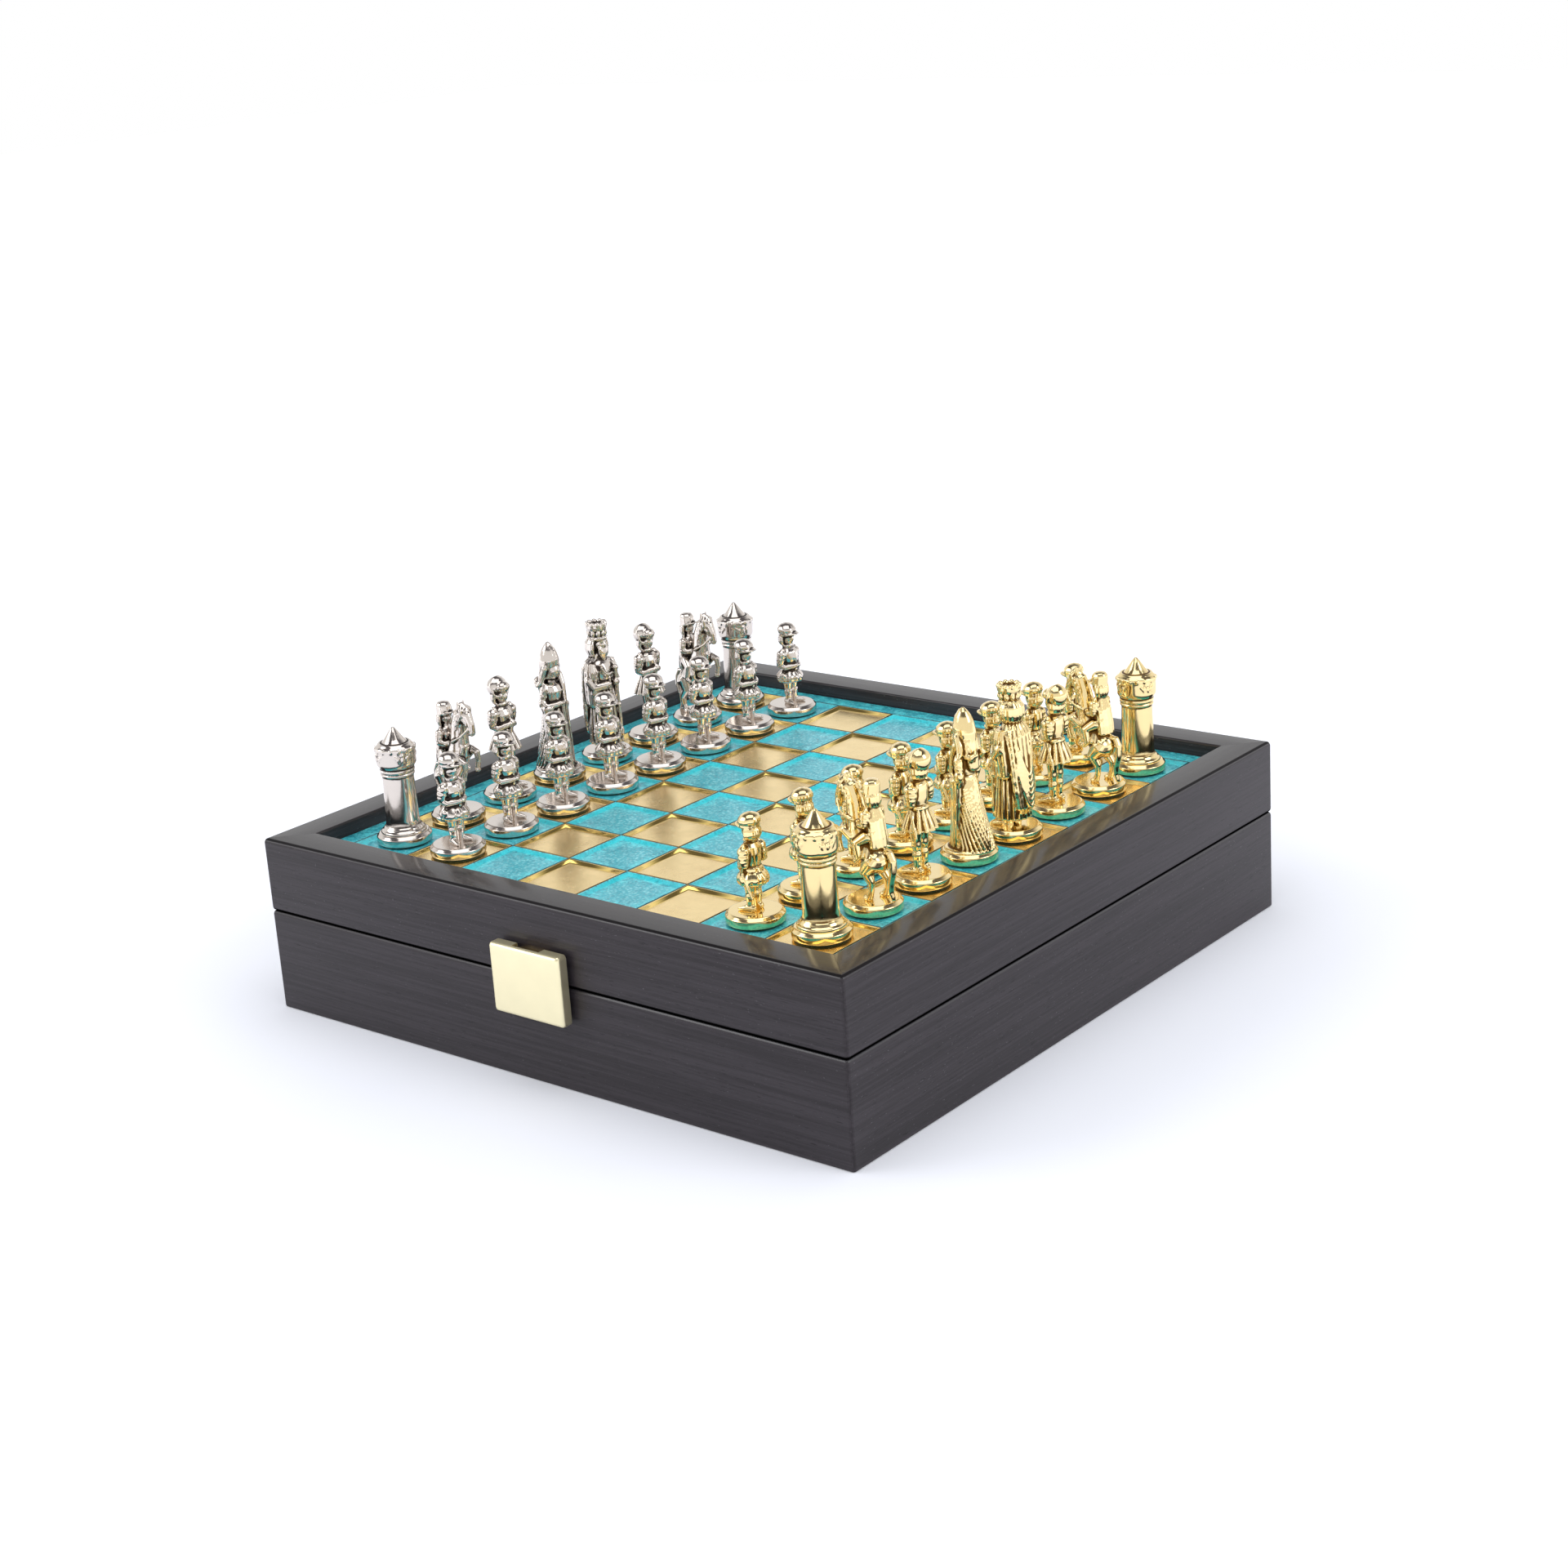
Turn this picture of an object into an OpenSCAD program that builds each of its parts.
// Chess board with storage box.
// Millimetres, +Z up, origin at the centre of the case's bottom face. The clasp is on the -Y face and the
// hinges are on the +Y face. The gold men stand on the +X side of the board, the silver men on the -X side.

/* [Chess board] */
// Side of one square
square_w = 20.8; // [18:0.1:28]
// Width of the plain strip round the squares
border_w = 6; // [4:0.5:12]
// Thickness of the board sheet
sheet_t = 1.6; // [1.4:0.1:2.5]
// Depth that each square is pressed below the ridges
pan_depth = 0.8; // [0.4:0.1:1]
// Width of the flat ridge between two squares
ridge_w = 0.8; // [0.6:0.1:1.2]
// Width of the sloped wall round each square
slope_w = 1.1; // [0.5:0.1:1.4]
// Metal left under a gold square's pocket
pocket_floor_t = 0.4; // [0.2:0.1:0.5]
// Distance from a square's edge to its gold tile
tile_margin = 0.15; // [0.1:0.01:0.2]

/* [Case] */
// Thickness of the rails that make the walls
rail_t = 10.6; // [9:0.2:14]
// Height of the lid
lid_h = 21; // [19:0.5:30]
// Height of the lower half
base_h = 28.8; // [26:0.2:45]
// Depth of the board's ridges below the lid's rim
recess_h = 4; // [2:0.5:6]
// Thickness of the panel under the board
lid_panel_t = 4; // [3:0.5:6]
// Thickness of the bottom panel
base_panel_t = 3; // [3:0.5:5]
// Depth of the groove that holds the lid panel
groove_depth = 3; // [2:0.5:4]
// Width of the rebate that holds the bottom panel
rebate_w = 4; // [2:0.5:6]
// Radius of the rounded outer edge of the rim
rim_r = 1.3; // [0.6:0.1:2]
// Radius of the rounded inner edge of the rim
rim_inner_r = 0.6; // [0.3:0.1:1]
// Radius that eases the outer edges at the seam
seam_r = 1.1; // [0.5:0.1:1.6]
// Radius that eases the bottom outer edge
foot_edge_r = 0.6; // [0.3:0.1:1.5]
// Gap between the board sheet and the rails
board_gap = 0.2; // [0.1:0.05:0.4]
// Thickness of the felt linings
lining_t = 1; // [0.5:0.1:2]

/* [Trays] */
// Width of the two outer troughs
officer_trough_w = 48; // [46:1:52]
// Thickness of a divider
divider_t = 3; // [2:0.5:4]
// Height of a divider above the lining
divider_h = 17; // [12:1:20]
// Radius of a divider's rounded top edges
divider_r = 0.8; // [0.4:0.1:0.9]

/* [Hinges] */
// Distance of each hinge from the middle of the case
hinge_x = 60; // [40:1:70]
// Length of a hinge
hinge_l = 25; // [20:1:35]
// Length of the knuckle on the lid's leaf
lid_knuckle_l = 8.6; // [6:0.2:12]
// Gap between two knuckles
knuckle_gap = 0.2; // [0.1:0.05:0.4]
// Width of a leaf inside the case's outline
leaf_w = 8; // [7:0.5:8.5]
// Thickness of a leaf
leaf_t = 0.9; // [0.6:0.1:1.2]
// Radius of the knuckles
knuckle_r = 1.8; // [1.6:0.1:2]
// Radius of the hinge pin
hinge_pin_r = 0.8; // [0.6:0.1:1]
// Clearance of each pin in its knuckles
pin_clearance = 0.05; // [0.02:0.01:0.08]
// Gap between the case's back face and the knuckles
knuckle_stand = 0.25; // [0.2:0.05:0.5]
// Distance of each screw from the middle of its leaf
leaf_screw_x = 8.5; // [7:0.5:9]
// Gap round a leaf in its mortise
mortise_gap = 0.1; // [0.05:0.05:0.3]

/* [Screws] */
// Radius of a screw's shank
screw_r = 0.9; // [0.6:0.1:1]
// Radius of a screw's head
screw_head_r = 1.7; // [1.5:0.1:1.9]
// Height of the part of a hinge screw's head that stands in its leaf
screw_head_h = 0.7; // [0.4:0.05:0.8]
// Length of a hinge screw below its head
hinge_screw_l = 6; // [4:0.5:8]
// Length of a clasp screw below its head
clasp_screw_l = 6.5; // [4:0.5:8]
// Clearance of a screw in its hole
screw_clearance = 0.05; // [0.02:0.01:0.1]
// Width of the slot in a screw's head
slot_w = 0.45; // [0.3:0.05:0.6]
// Depth of the slot in a screw's head
slot_depth = 0.35; // [0.2:0.05:0.4]

/* [Clasp] */
// Width of the clasp cover
clasp_w = 24.2; // [22:0.2:30]
// Height of the clasp cover
clasp_h = 19; // [18:0.5:24]
// Depth of the clasp cover from front to back
clasp_depth = 3.4; // [3.2:0.1:4]
// Gap between the cover's back edge and the case
clasp_gap = 1.3; // [1.2:0.1:2]
// Thickness of the cover's walls
clasp_wall = 0.8; // [0.6:0.1:0.8]
// Height of the cover's top above the seam
clasp_above = 9.7; // [9.5:0.1:13]
// Distance of the clasp to the right of the front's middle
clasp_x = 1.3; // [0:0.1:10]
// Depth of the clasp hinge's axis below the cover's top
clasp_axis_drop = 1.7; // [1.6:0.1:1.8]
// Radius of the clasp's knuckles
clasp_knuckle_r = 1.25; // [1.1:0.05:1.3]
// Length of the bracket's knuckle
clasp_knuckle_l = 9; // [6:0.5:10]
// Length of each of the cover's knuckles
clasp_lug_l = 4; // [3:0.5:5]
// Gap between the clasp's knuckles
clasp_knuckle_gap = 0.15; // [0.1:0.05:0.2]
// Radius of the clasp's pin
clasp_pin_r = 0.6; // [0.5:0.05:0.7]
// Thickness of the clasp's bracket
bracket_t = 0.8; // [0.6:0.1:1]
// Width of the bracket where its screws are
bracket_w = 17; // [16:0.5:18]
// Height of the bracket's wide part
bracket_h = 4.4; // [4:0.2:4.6]
// Height of the bracket's lower edge above the seam
bracket_above = 1.2; // [1.2:0.1:1.5]
// Distance of each clasp screw from the middle of the bracket
clasp_screw_x = 5.6; // [5:0.1:6]
// Height of a clasp screw's round head
clasp_head_h = 0.8; // [0.5:0.1:1]
// Radius of the magnet in the case
magnet_r = 3; // [2:0.1:3.4]
// Depth of the magnet in the case
magnet_depth = 3; // [2:0.5:4]
// Distance of the magnet's middle below the seam
magnet_below = 5; // [4.8:0.1:5.2]
// Gap between the magnet and the armature in the cover
magnet_gap = 0.3; // [0.2:0.05:0.6]
// Width and height of the armature
armature_w = 7; // [5:0.5:7.5]

/* [Chessmen] */
// Radius of a man's round foot
foot_r = 7.6; // [6:0.1:8]
// Height of the round foot
foot_h = 3.4; // [2.5:0.1:4.5]
// Width of the slope at the foot's upper edge
foot_bevel = 0.9; // [0.5:0.1:1.2]
// Thickness of the felt pad under the foot
pad_t = 0.5; // [0.3:0.1:0.8]
// Thickness of the glue between the pad and the foot
glue_t = 0.02; // [0.01:0.01:0.05]
// Margin between the pad and the foot's edge
pad_margin = 0.6; // [0.3:0.1:1]
// Height of a pawn
pawn_h = 28.8; // [24:0.2:34]
// Height of a rook
rook_h = 33; // [28:0.2:38]
// Height of a knight
knight_h = 35.8; // [30:0.2:40]
// Height of a bishop
bishop_h = 36.3; // [30:0.2:42]
// Height of a queen
queen_h = 41.3; // [36:0.2:46]
// Height of a king
king_h = 42.4; // [36:0.2:48]

/* [Hidden] */
$fn = 48;
files = 8;
gold_side = 1;
silver_side = -1;
officers = ["rook", "knight", "bishop", "queen", "king", "bishop", "knight", "rook"];
// Which one of its kind each officer is, along the row. A kind with only one has no number.
officer_numbers = [1, 1, 1, 0, 0, 2, 2, 2];
function officer_name(i) = officer_numbers[i] == 0 ? officers[i] : str(officers[i], "_", officer_numbers[i]);

men_names = [
    for (side = ["gold", "silver"]) for (i = [0:files - 1])
        for (name = [officer_name(i), str("pawn_", i + 1)]) str(side, "_", name)
];

// What every cut runs past the face that it starts from
overrun = 1;

// Board and case, from the inside out
board_w = files * square_w + 2 * border_w;
well_w = board_w + 2 * board_gap;
case_w = well_w + 2 * rail_t;
case_h = base_h + lid_h;
ridge_z = case_h - recess_h;
pan_z = ridge_z - pan_depth;
sheet_z = ridge_z - sheet_t;
lid_panel_z = sheet_z - lid_panel_t;
lid_lining_z = lid_panel_z - lining_t;
base_lining_z = base_panel_t;
tray_z = base_lining_z + lining_t;
pawn_trough_w = (well_w - 2 * officer_trough_w - 3 * divider_t) / 2;
divider_y = [-pawn_trough_w - divider_t, 0, pawn_trough_w + divider_t];
edge_steps = 6;

// Squares
tile_w = square_w - 2 * tile_margin;
pocket_clearance = 0.04;
pocket_w = tile_w + 2 * pocket_clearance;
pan_top_w = square_w - ridge_w;
pan_floor_w = pan_top_w - 2 * slope_w;
function square_at(i, j) = [(i - (files - 1) / 2) * square_w, (j - (files - 1) / 2) * square_w];
function is_gold(i, j) = (i + j) % 2 == 1;

// Hinges
hinge_axis_y = case_w / 2 + knuckle_stand + knuckle_r;
hinge_axis_z = base_h;
side_knuckle_l = (hinge_l - lid_knuckle_l - 2 * knuckle_gap) / 2;
leaf_screw_y = case_w / 2 - leaf_w / 2;
side_knuckle_x = (hinge_l - side_knuckle_l) / 2;

// Clasp
front_y = -case_w / 2;
clasp_back_y = front_y - clasp_gap;
clasp_front_y = clasp_back_y - clasp_depth;
clasp_top_z = base_h + clasp_above;
clasp_axis_y = clasp_back_y - clasp_depth / 3;
clasp_axis_z = clasp_top_z - clasp_axis_drop;
clasp_inner_y = clasp_front_y + clasp_wall;
lug_x = (clasp_knuckle_l + clasp_lug_l) / 2 + clasp_knuckle_gap;
clasp_pin_l = 2 * lug_x + clasp_lug_l;
bracket_z = base_h + bracket_above;
bracket_screw_z = bracket_z + bracket_h / 2;
magnet_z = base_h - magnet_below;
armature_front_y = front_y - magnet_gap;

// Points of a quarter of a circle, for an edge rounded at [x, y] from angle a to angle b
function arc(x, y, r, a, b) = [
    for (k = [0:edge_steps]) let (t = a + (b - a) * k / edge_steps) [x + r * cos(t), y + r * sin(t)]
];

// Sections of the rails: the first number is the depth from the outer face, the second the height

function lid_section() = concat(
    arc(seam_r, base_h + seam_r, seam_r, 270, 180),
    arc(rim_r, case_h - rim_r, rim_r, 180, 90),
    arc(rail_t - rim_inner_r, case_h - rim_inner_r, rim_inner_r, 90, 0),
    [
        [rail_t, sheet_z], [rail_t - groove_depth, sheet_z],
        [rail_t - groove_depth, lid_panel_z], [rail_t, lid_panel_z],
        [rail_t, base_h]
    ]
);

function base_section() = concat(
    arc(foot_edge_r, foot_edge_r, foot_edge_r, 270, 180),
    arc(seam_r, base_h - seam_r, seam_r, 180, 90),
    [
        [rail_t, base_h], [rail_t, base_panel_t],
        [rail_t - rebate_w, base_panel_t], [rail_t - rebate_w, 0]
    ]
);

// A rail with this section along the front, cut at 45 degrees at both ends
module front_rail(section) {
    intersection() {
        translate([-case_w / 2, -case_w / 2, 0])
            rotate([90, 0, 90])
                linear_extrude(case_w) polygon(section);
        linear_extrude(case_h)
            polygon([[-case_w / 2, -case_w / 2], [case_w / 2, -case_w / 2], [0, 0]]);
    }
}

// Holes and mortises cut into the rails

module leaf_mortises(z) {
    for (side = [-1, 1])
        translate([
            side * hinge_x - hinge_l / 2 - mortise_gap,
            case_w / 2 - leaf_w - mortise_gap,
            z
        ])
            cube([hinge_l + 2 * mortise_gap, leaf_w + mortise_gap + overrun, leaf_t]);
}

// Every hinge screw's place. The head faces the seam, and dir is 1 in the lid and -1 in the case.
module at_hinge_screws(dir) {
    for (side = [-1, 1]) for (step = [-1, 1])
        translate([side * hinge_x + step * leaf_screw_x, leaf_screw_y, base_h])
            mirror([0, 0, dir == 1 ? 0 : 1]) children();
}

module at_clasp_screws() {
    for (side = [-1, 1])
        translate([clasp_x + side * clasp_screw_x, front_y, bracket_screw_z])
            rotate([90, 0, 0]) children();
}

module hinge_pilot() {
    cylinder(r = screw_r + screw_clearance, h = screw_head_h + hinge_screw_l);
}

module clasp_pilot() {
    translate([0, 0, -clasp_screw_l]) cylinder(r = screw_r + screw_clearance, h = clasp_screw_l + overrun);
}

module magnet_pocket() {
    translate([clasp_x, front_y - overrun, magnet_z]) rotate([-90, 0, 0])
        cylinder(r = magnet_r + screw_clearance, h = magnet_depth + overrun);
}

// Lid

module lid_rail_front() {
    color("#3a3537") difference() {
        front_rail(lid_section());
        at_clasp_screws() clasp_pilot();
    }
}

module lid_rail_back() {
    color("#3a3537") difference() {
        rotate([0, 0, 180]) front_rail(lid_section());
        leaf_mortises(base_h);
        at_hinge_screws(1) hinge_pilot();
    }
}

module lid_rail_left() {
    color("#3a3537") rotate([0, 0, -90]) front_rail(lid_section());
}

module lid_rail_right() {
    color("#3a3537") rotate([0, 0, 90]) front_rail(lid_section());
}

// A square sheet with its middle over the origin
module square_sheet(w, t, z) {
    translate([-w / 2, -w / 2, z]) cube([w, w, t]);
}

module lid_panel() {
    color("#8a6a48") square_sheet(well_w + 2 * groove_depth, lid_panel_t, lid_panel_z);
}

module lid_lining() {
    color("#1c4d38") square_sheet(board_w, lining_t, lid_lining_z);
}

// The hollow of one square: a flat floor with sloped walls. It runs past the ridges, and below the floor.
module pan(below) {
    rise = overrun * slope_w / pan_depth;
    top = pan_top_w / 2 + rise;
    floor = pan_floor_w / 2;
    section = [
        [floor, -below], [floor, 0], [top, pan_depth + overrun],
        [-top, pan_depth + overrun], [-floor, 0], [-floor, -below]
    ];
    intersection_for(turn = [0, 90])
        rotate([90, 0, turn])
            translate([0, 0, -square_w])
                linear_extrude(2 * square_w) polygon(section);
}

// The flat part of the sheet, with a shallow pocket for each gold tile. The men stand on it.
module board_sheet() {
    color("#2aa7b4") difference() {
        square_sheet(board_w, sheet_t - pan_depth, sheet_z);
        for (i = [0:files - 1]) for (j = [0:files - 1])
            if (is_gold(i, j))
                translate(concat(square_at(i, j), [0]))
                    square_sheet(pocket_w, sheet_t, sheet_z + pocket_floor_t);
    }
}

// The border and the ridges round the turquoise squares, raised above the flat part
module board_ridges() {
    color("#2aa7b4") difference() {
        square_sheet(board_w, pan_depth, pan_z);
        for (i = [0:files - 1]) for (j = [0:files - 1])
            translate(concat(square_at(i, j), [0]))
                if (is_gold(i, j))
                    square_sheet(pocket_w, sheet_t + overrun, sheet_z);
                else
                    translate([0, 0, pan_z]) pan(overrun);
    }
}

module gold_squares() {
    color("#d8b866")
        for (i = [0:files - 1]) for (j = [0:files - 1])
            if (is_gold(i, j))
                translate(concat(square_at(i, j), [0])) difference() {
                    square_sheet(tile_w, sheet_t - pocket_floor_t, sheet_z + pocket_floor_t);
                    translate([0, 0, pan_z]) pan(0);
                }
}

// Lower half

module base_rail_front() {
    color("#332e30") difference() {
        front_rail(base_section());
        magnet_pocket();
    }
}

module base_rail_back() {
    color("#332e30") difference() {
        rotate([0, 0, 180]) front_rail(base_section());
        leaf_mortises(base_h - leaf_t);
        at_hinge_screws(-1) hinge_pilot();
    }
}

module base_rail_left() {
    color("#332e30") rotate([0, 0, -90]) front_rail(base_section());
}

module base_rail_right() {
    color("#332e30") rotate([0, 0, 90]) front_rail(base_section());
}

module base_panel() {
    color("#8a6a48") square_sheet(well_w + 2 * rebate_w, base_panel_t, 0);
}

module base_lining() {
    color("#1c4d38") square_sheet(board_w, lining_t, base_lining_z);
}

// Section of a divider, from its middle and its foot
function divider_section() = concat(
    [[-divider_t / 2, 0]],
    arc(-divider_t / 2 + divider_r, divider_h - divider_r, divider_r, 180, 90),
    arc(divider_t / 2 - divider_r, divider_h - divider_r, divider_r, 90, 0),
    [[divider_t / 2, 0]]
);

module tray_dividers() {
    color("#1f5a42")
        for (y = divider_y)
            translate([-board_w / 2, y, tray_z])
                rotate([90, 0, 90])
                    linear_extrude(board_w) polygon(divider_section());
}

// Hinges. A leaf lies in its mortise and carries its knuckles behind the case.

module knuckle(l) {
    rotate([0, 90, 0]) cylinder(r = knuckle_r, h = l, center = true);
}

module pin_hole() {
    rotate([0, 90, 0]) cylinder(r = hinge_pin_r + pin_clearance, h = hinge_l + 2 * overrun, center = true);
}

// A leaf's plate over a length l, from y0 back to the hinge's axis
module leaf_plate(l, y0, z) {
    translate([-l / 2, y0 - hinge_axis_y, z]) cube([l, hinge_axis_y - y0, leaf_t]);
}

module leaf_flat(z) {
    translate([-hinge_l / 2, case_w / 2 - leaf_w - hinge_axis_y, z]) cube([hinge_l, leaf_w, leaf_t]);
}

module lid_leaf(side) {
    color("#c9a24a") difference() {
        translate([side * hinge_x, hinge_axis_y, hinge_axis_z]) difference() {
            union() {
                leaf_flat(0);
                leaf_plate(lid_knuckle_l, case_w / 2 - leaf_w / 2, 0);
                knuckle(lid_knuckle_l);
            }
            pin_hole();
        }
        at_hinge_screws(1) leaf_hole();
    }
}

module base_leaf(side) {
    color("#c9a24a") difference() {
        translate([side * hinge_x, hinge_axis_y, hinge_axis_z]) difference() {
            union() {
                leaf_flat(-leaf_t);
                for (end = [-1, 1]) translate([end * side_knuckle_x, 0, 0]) {
                    leaf_plate(side_knuckle_l, case_w / 2 - leaf_w / 2, -leaf_t);
                    knuckle(side_knuckle_l);
                }
            }
            pin_hole();
        }
        at_hinge_screws(-1) leaf_hole();
    }
}

// The hole that a screw's flat head fills
module leaf_hole() {
    cylinder(r = screw_head_r + screw_clearance, h = screw_head_h);
    cylinder(r = screw_r + screw_clearance, h = leaf_t + overrun);
}

module hinge_lid_leaves() {
    for (side = [-1, 1]) lid_leaf(side);
}

module hinge_base_leaves() {
    for (side = [-1, 1]) base_leaf(side);
}

module hinge_pins() {
    color("#b08d3e")
        for (side = [-1, 1])
            translate([side * hinge_x, hinge_axis_y, hinge_axis_z]) rotate([0, 90, 0])
                cylinder(r = hinge_pin_r, h = hinge_l, center = true);
}

// A screw with its head's face at the origin and its shank along +Z
module hinge_screw() {
    difference() {
        union() {
            cylinder(r = screw_head_r, h = screw_head_h);
            cylinder(r = screw_r, h = screw_head_h + hinge_screw_l);
        }
        translate([-screw_head_r - overrun, -slot_w / 2, -overrun])
            cube([2 * (screw_head_r + overrun), slot_w, slot_depth + overrun]);
    }
}

module hinge_screws_lid() {
    color("#b08d3e") at_hinge_screws(1) hinge_screw();
}

module hinge_screws_base() {
    color("#b08d3e") at_hinge_screws(-1) hinge_screw();
}

// Clasp. A bracket on the lid carries the cover on a pin, and a magnet in the case holds the cover shut.

module at_clasp_axis() {
    translate([clasp_x, clasp_axis_y, clasp_axis_z]) children();
}

module clasp_pin_hole() {
    at_clasp_axis() rotate([0, 90, 0])
        cylinder(r = clasp_pin_r + pin_clearance, h = clasp_pin_l + 2 * overrun, center = true);
}

module clasp_bracket() {
    web_h = clasp_axis_z - bracket_z;
    color("#c9a24a") difference() {
        union() {
            translate([clasp_x - bracket_w / 2, front_y - bracket_t, bracket_z])
                cube([bracket_w, bracket_t, bracket_h]);
            translate([clasp_x - clasp_knuckle_l / 2, front_y - bracket_t, bracket_z])
                cube([clasp_knuckle_l, bracket_t, web_h]);
            translate([clasp_x - clasp_knuckle_l / 2, clasp_axis_y, clasp_axis_z - bracket_t / 2])
                cube([clasp_knuckle_l, front_y - clasp_axis_y, bracket_t]);
            at_clasp_axis() rotate([0, 90, 0])
                cylinder(r = clasp_knuckle_r, h = clasp_knuckle_l, center = true);
        }
        clasp_pin_hole();
        at_clasp_screws() cylinder(r = screw_r + screw_clearance, h = bracket_t + overrun);
    }
}

module clasp_screw() {
    difference() {
        union() {
            translate([0, 0, -clasp_screw_l])
                cylinder(r = screw_r, h = clasp_screw_l + bracket_t + clasp_head_h / 2);
            translate([0, 0, bracket_t]) cylinder(r = screw_head_r, h = clasp_head_h);
        }
        translate([-screw_head_r - overrun, -slot_w / 2, bracket_t + clasp_head_h - slot_depth])
            cube([2 * (screw_head_r + overrun), slot_w, slot_depth + overrun]);
    }
}

module clasp_screws() {
    color("#b08d3e") at_clasp_screws() clasp_screw();
}

// A tray that is open at the back, with two knuckles in its top and a notch between them
module clasp_cover() {
    color("#e6cf94") difference() {
        union() {
            difference() {
                translate([clasp_x - clasp_w / 2, clasp_front_y, clasp_top_z - clasp_h])
                    cube([clasp_w, clasp_depth, clasp_h]);
                translate([
                    clasp_x - clasp_w / 2 + clasp_wall,
                    clasp_inner_y,
                    clasp_top_z - clasp_h + clasp_wall
                ])
                    cube([clasp_w - 2 * clasp_wall, clasp_depth, clasp_h - 2 * clasp_wall]);
            }
            for (side = [-1, 1]) {
                at_clasp_axis() translate([side * lug_x, 0, 0]) rotate([0, 90, 0])
                    cylinder(r = clasp_knuckle_r, h = clasp_lug_l, center = true);
                translate([
                    clasp_x + side * lug_x - clasp_lug_l / 2,
                    clasp_axis_y - clasp_knuckle_r / 2,
                    clasp_axis_z
                ])
                    cube([clasp_lug_l, clasp_knuckle_r, clasp_axis_drop - clasp_wall / 2]);
            }
        }
        translate([
            clasp_x - clasp_knuckle_l / 2 - clasp_knuckle_gap,
            clasp_inner_y,
            clasp_top_z - clasp_wall - overrun
        ])
            cube([clasp_knuckle_l + 2 * clasp_knuckle_gap, clasp_depth, clasp_wall + 2 * overrun]);
        clasp_pin_hole();
    }
}

module clasp_pin() {
    color("#b08d3e") at_clasp_axis() rotate([0, 90, 0])
        cylinder(r = clasp_pin_r, h = clasp_pin_l, center = true);
}

module clasp_armature() {
    color("#8d9096")
        translate([clasp_x - armature_w / 2, clasp_inner_y, magnet_z - armature_w / 2])
            cube([armature_w, armature_front_y - clasp_inner_y, armature_w]);
}

module clasp_magnet() {
    color("#5c5f66") translate([clasp_x, front_y, magnet_z]) rotate([-90, 0, 0])
        cylinder(r = magnet_r, h = magnet_depth);
}

// Chessmen. Each looks along +X and stands at the origin on its felt pad. Every number in a table of shares
// is a share of the man's own height: outlines are [radius, height], rods are [x, y, z of one end, x, y, z of
// the other end, radius] and balls are [x, y, z, radius]. A pair stands for two, one on each side of the man.

pawn_skirt_shares = [
    [0, 0.36], [0.125, 0.37], [0.118, 0.42], [0.078, 0.5], [0.1, 0.62], [0.088, 0.7], [0.04, 0.73],
    [0.038, 0.77], [0, 0.77]
];
pawn_pair_shares = [
    [0.005, 0.051, 0.06, 0.005, 0.051, 0.4, 0.038], [0, 0.112, 0.675, -0.025, 0.128, 0.55, 0.036],
    [-0.025, 0.122, 0.545, 0.105, 0.035, 0.535, 0.031]
];
pawn_rod_shares = [[0, 0, 0.855, 0, 0, 0.895, 0.112]];
pawn_ball_shares = [[0, 0, 0.82, 0.083], [0.008, 0, 0.912, 0.088]];

rook_wall_shares = [
    [0, 0.06], [0.175, 0.07], [0.175, 0.135], [0.15, 0.16], [0.128, 0.6], [0.142, 0.605], [0.142, 0.625],
    [0.13, 0.63], [0.13, 0.66], [0.158, 0.68], [0.172, 0.7], [0.172, 0.835], [0.13, 0.84], [0, 1]
];
rook_window_share = 0.02;
rook_windows = 8;
rook_battlement_shares = [0.15, 0.775];

knight_pair_shares = [
    [-0.085, 0.056, 0.06, -0.085, 0.056, 0.145, 0.033], [-0.085, 0.056, 0.135, -0.1, 0.06, 0.25, 0.03],
    [-0.1, 0.058, 0.24, -0.055, 0.05, 0.36, 0.052],
    [0.1, 0.04, 0.52, 0.2, 0.05, 0.55, 0.032], [0.195, 0.048, 0.55, 0.215, 0.048, 0.45, 0.024],
    [-0.015, 0.1, 0.6, 0.015, 0.105, 0.4, 0.03], [-0.02, 0.085, 0.76, 0.02, 0.09, 0.65, 0.028]
];
knight_rod_shares = [
    [-0.05, 0, 0.36, 0.1, 0, 0.56, 0.092], [0.08, 0, 0.54, 0.13, 0, 0.8, 0.06],
    [0.115, 0, 0.84, 0.24, 0, 0.74, 0.043], [-0.12, 0, 0.42, -0.163, 0, 0.135, 0.035],
    [-0.163, 0, 0.06, -0.163, 0, 0.145, 0.036], [-0.035, 0, 0.56, -0.035, 0, 0.8, 0.066]
];
knight_ball_shares = [
    [-0.05, 0, 0.37, 0.112], [-0.035, 0, 0.8, 0.072], [-0.03, 0, 0.905, 0.062], [-0.032, 0, 0.93, 0.07],
    [0.12, 0, 0.83, 0.064]
];

bishop_skirt_shares = [
    [0, 0.34], [0.118, 0.35], [0.112, 0.4], [0.062, 0.53], [0.085, 0.66], [0.078, 0.73], [0.032, 0.76],
    [0.03, 0.8], [0, 0.8]
];
bishop_pair_shares = [
    [0.006, 0.041, 0.06, 0.006, 0.041, 0.38, 0.033], [0, 0.09, 0.715, -0.01, 0.108, 0.605, 0.032],
    [-0.01, 0.102, 0.6, 0.085, 0.02, 0.585, 0.027]
];
bishop_rod_shares = [[0, 0, 0.88, 0, 0, 0.912, 0.084]];
bishop_ball_shares = [[0, 0, 0.855, 0.066], [-0.004, 0, 0.93, 0.07]];

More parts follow.
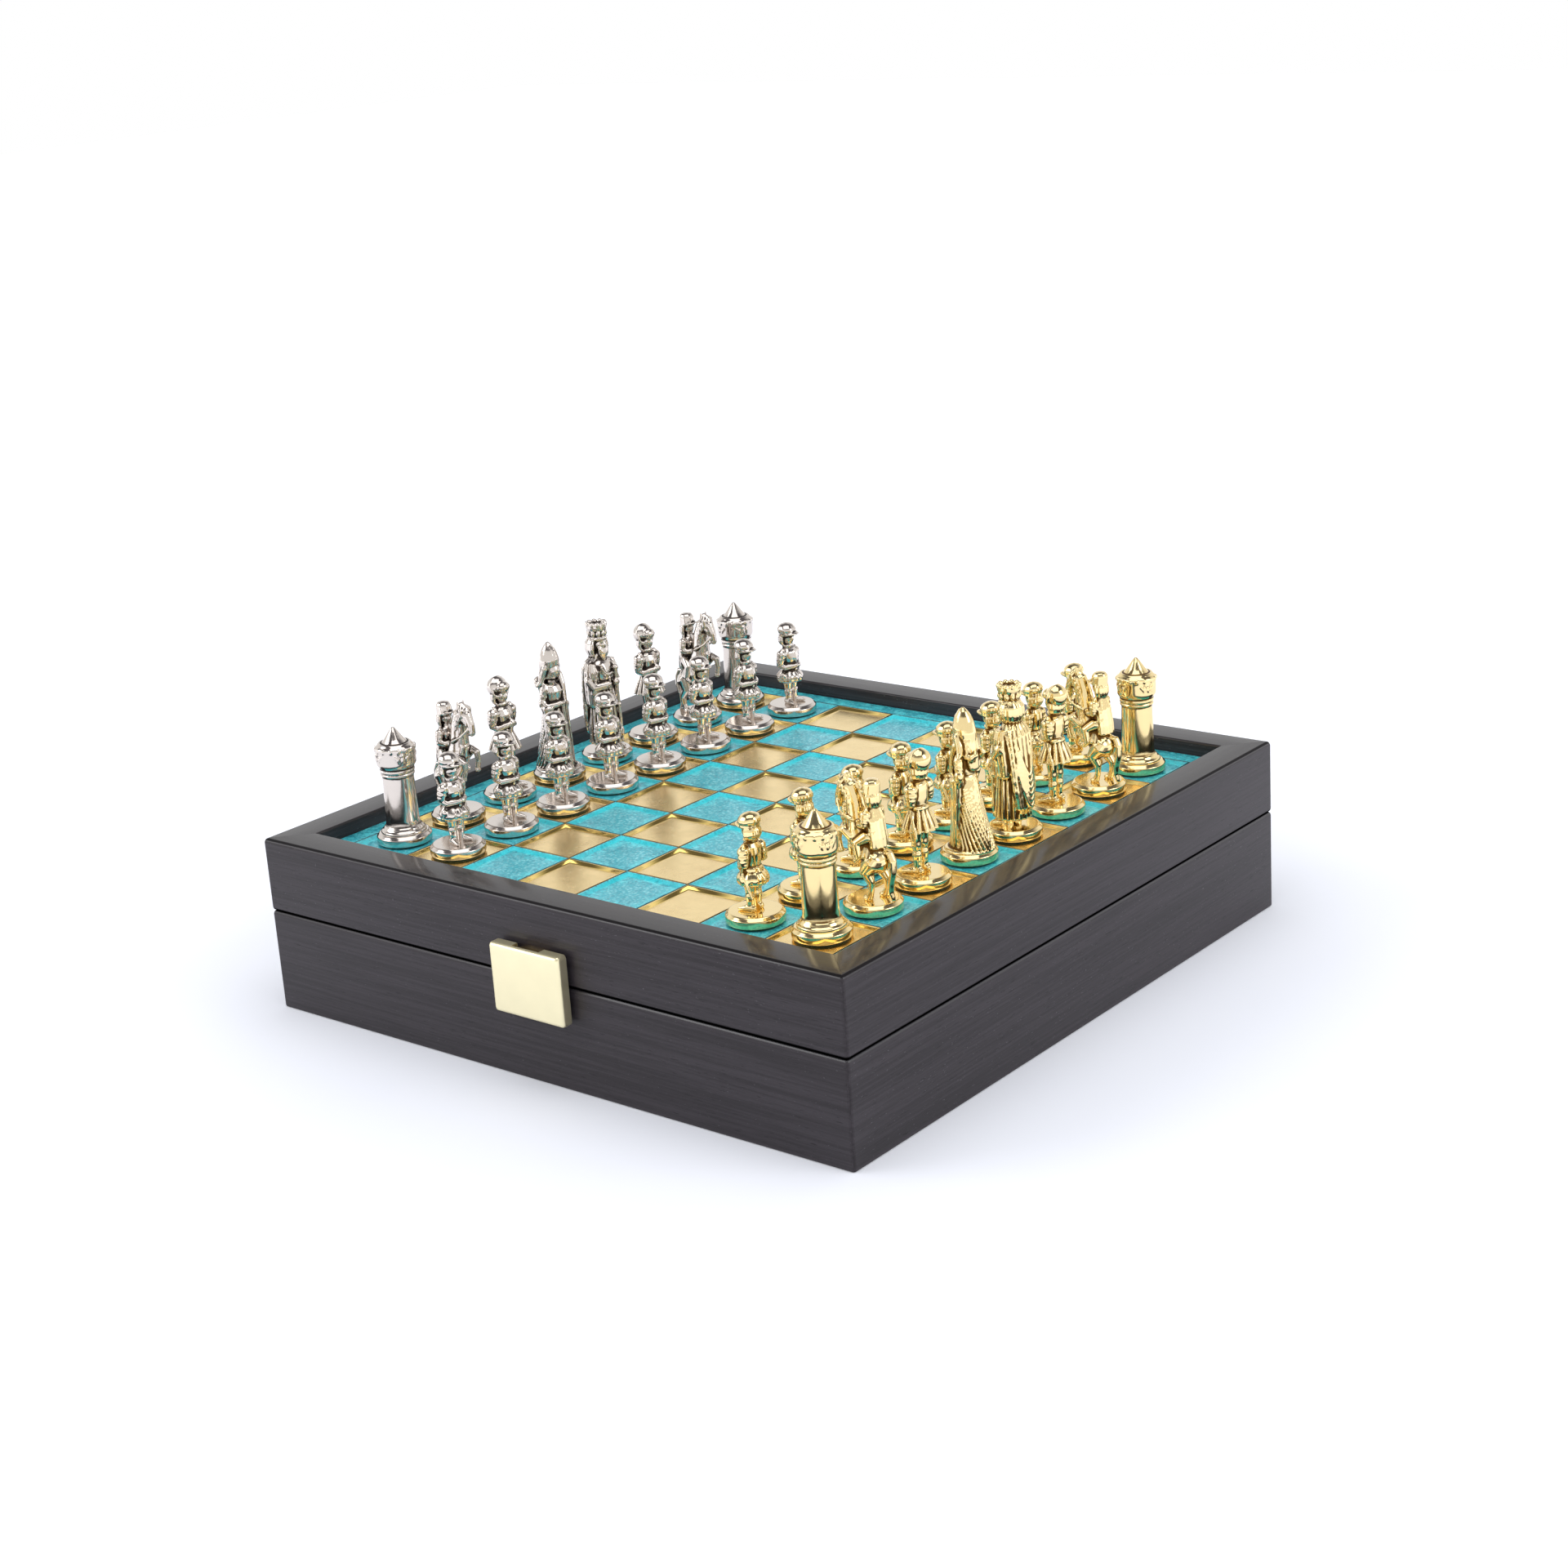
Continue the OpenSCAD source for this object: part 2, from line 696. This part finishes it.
queen_gown_shares = [
    [0, 0.05], [0.13, 0.06], [0.105, 0.2], [0.088, 0.4], [0.062, 0.54], [0.08, 0.64], [0.084, 0.68],
    [0.04, 0.72], [0.06, 0.74], [0.082, 0.8], [0.078, 0.86], [0.05, 0.94], [0.018, 0.99], [0, 1]
];
queen_pair_shares = [
    [0, 0.08, 0.675, -0.01, 0.1, 0.57, 0.03], [-0.01, 0.096, 0.565, 0.085, 0.02, 0.56, 0.025]
];
queen_rod_shares = [[-0.045, 0, 0.5, -0.12, 0, 0.05, 0.055], [0.075, 0, 0.57, 0.072, 0, 0.7, 0.022]];
queen_ball_shares = [[-0.02, 0, 0.72, 0.07]];

king_robe_shares = [
    [0, 0.12], [0.118, 0.13], [0.105, 0.25], [0.088, 0.44], [0.078, 0.52], [0.1, 0.66], [0.088, 0.72],
    [0.042, 0.75], [0.042, 0.8], [0, 0.8]
];
king_pair_shares = [
    [0.015, 0.045, 0.05, 0.01, 0.045, 0.16, 0.034], [0, 0.104, 0.69, -0.01, 0.122, 0.56, 0.036],
    [-0.01, 0.117, 0.555, 0.1, 0.05, 0.55, 0.03], [-0.07, 0.05, 0.72, -0.1, 0.06, 0.14, 0.042]
];
king_rod_shares = [
    [-0.07, 0, 0.73, -0.105, 0, 0.13, 0.05], [0.098, 0.05, 0.1, 0.098, 0.05, 0.66, 0.014],
    [0, 0, 0.875, 0, 0, 0.99, 0.062], [0, 0, 0.985, 0, 0, 1, 0.07], [0.03, 0, 0.8, 0.05, 0, 0.7, 0.035]
];
king_ball_shares = [[0, 0, 0.84, 0.066], [0.098, 0.05, 0.665, 0.024]];

// A rod between two points, for a man of height h
module rod(h, r) {
    a = [r[0], r[1], r[2]] * h;
    d = [r[3], r[4], r[5]] * h - a;
    l = norm(d);
    translate(a) rotate([0, acos(d[2] / l), atan2(d[1], d[0])]) cylinder(r = r[6] * h, h = l, $fn = 24);
}

module lathe(h, shares) {
    rotate_extrude() polygon([for (p = shares) p * h]);
}

module foot() {
    rotate_extrude() polygon([
        [0, pad_t], [foot_r, pad_t], [foot_r, foot_h - foot_bevel], [foot_r - foot_bevel, foot_h], [0, foot_h]
    ]);
}

module pad() {
    cylinder(r = foot_r - pad_margin, h = pad_t - glue_t);
}

// A figure from its tables. What a rod or ball would add inside the foot stays above the pad.
module figure(h, outline, pairs, rods, balls) {
    lathe(h, outline);
    for (r = pairs) {
        rod(h, r);
        mirror([0, 1, 0]) rod(h, r);
    }
    for (r = rods) rod(h, r);
    for (b = balls) translate([b[0], b[1], b[2]] * h) sphere(r = b[3] * h, $fn = 32);
}

module rook_figure() {
    slot = rook_window_share * rook_h;
    difference() {
        lathe(rook_h, rook_wall_shares);
        for (k = [0:rook_windows - 1]) rotate([0, 0, k * 360 / rook_windows])
            translate([rook_battlement_shares[0] * rook_h, -slot / 2, rook_battlement_shares[1] * rook_h])
                cube([foot_r, slot, 2 * slot]);
    }
}

module knight_figure() {
    for (r = knight_pair_shares) {
        rod(knight_h, r);
        mirror([0, 1, 0]) rod(knight_h, r);
    }
    for (r = knight_rod_shares) rod(knight_h, r);
    for (b = knight_ball_shares)
        translate([b[0], b[1], b[2]] * knight_h) sphere(r = b[3] * knight_h, $fn = 32);
}

module man(kind) {
    pad();
    foot();
    if (kind == "pawn")
        figure(pawn_h, pawn_skirt_shares, pawn_pair_shares, pawn_rod_shares, pawn_ball_shares);
    if (kind == "rook") rook_figure();
    if (kind == "knight") knight_figure();
    if (kind == "bishop")
        figure(bishop_h, bishop_skirt_shares, bishop_pair_shares, bishop_rod_shares, bishop_ball_shares);
    if (kind == "queen")
        figure(queen_h, queen_gown_shares, queen_pair_shares, queen_rod_shares, queen_ball_shares);
    if (kind == "king")
        figure(king_h, king_robe_shares, king_pair_shares, king_rod_shares, king_ball_shares);
}

// A man on square j of a row. Gold men look towards -X and silver ones towards +X.
module placed_man(kind, side, row, j) {
    i = side == gold_side ? files - 1 - row : row;
    translate(concat(square_at(i, j), [pan_z]))
        rotate([0, 0, side == gold_side ? 180 : 0])
            color(side == gold_side ? "#d4a537" : "#b9b9bd") man(kind);
}

lid_rail_front();
lid_rail_back();
lid_rail_left();
lid_rail_right();
lid_panel();
lid_lining();
board_sheet();
board_ridges();
gold_squares();
base_rail_front();
base_rail_back();
base_rail_left();
base_rail_right();
base_panel();
base_lining();
tray_dividers();
hinge_lid_leaves();
hinge_base_leaves();
hinge_pins();
hinge_screws_lid();
hinge_screws_base();
clasp_bracket();
clasp_screws();
clasp_cover();
clasp_pin();
clasp_armature();
clasp_magnet();
for (side = [gold_side, silver_side]) for (j = [0:files - 1]) {
    team = side == gold_side ? "gold_" : "silver_";
    placed_man(officers[j], side, 0, j);
    placed_man("pawn", side, 1, j);
}
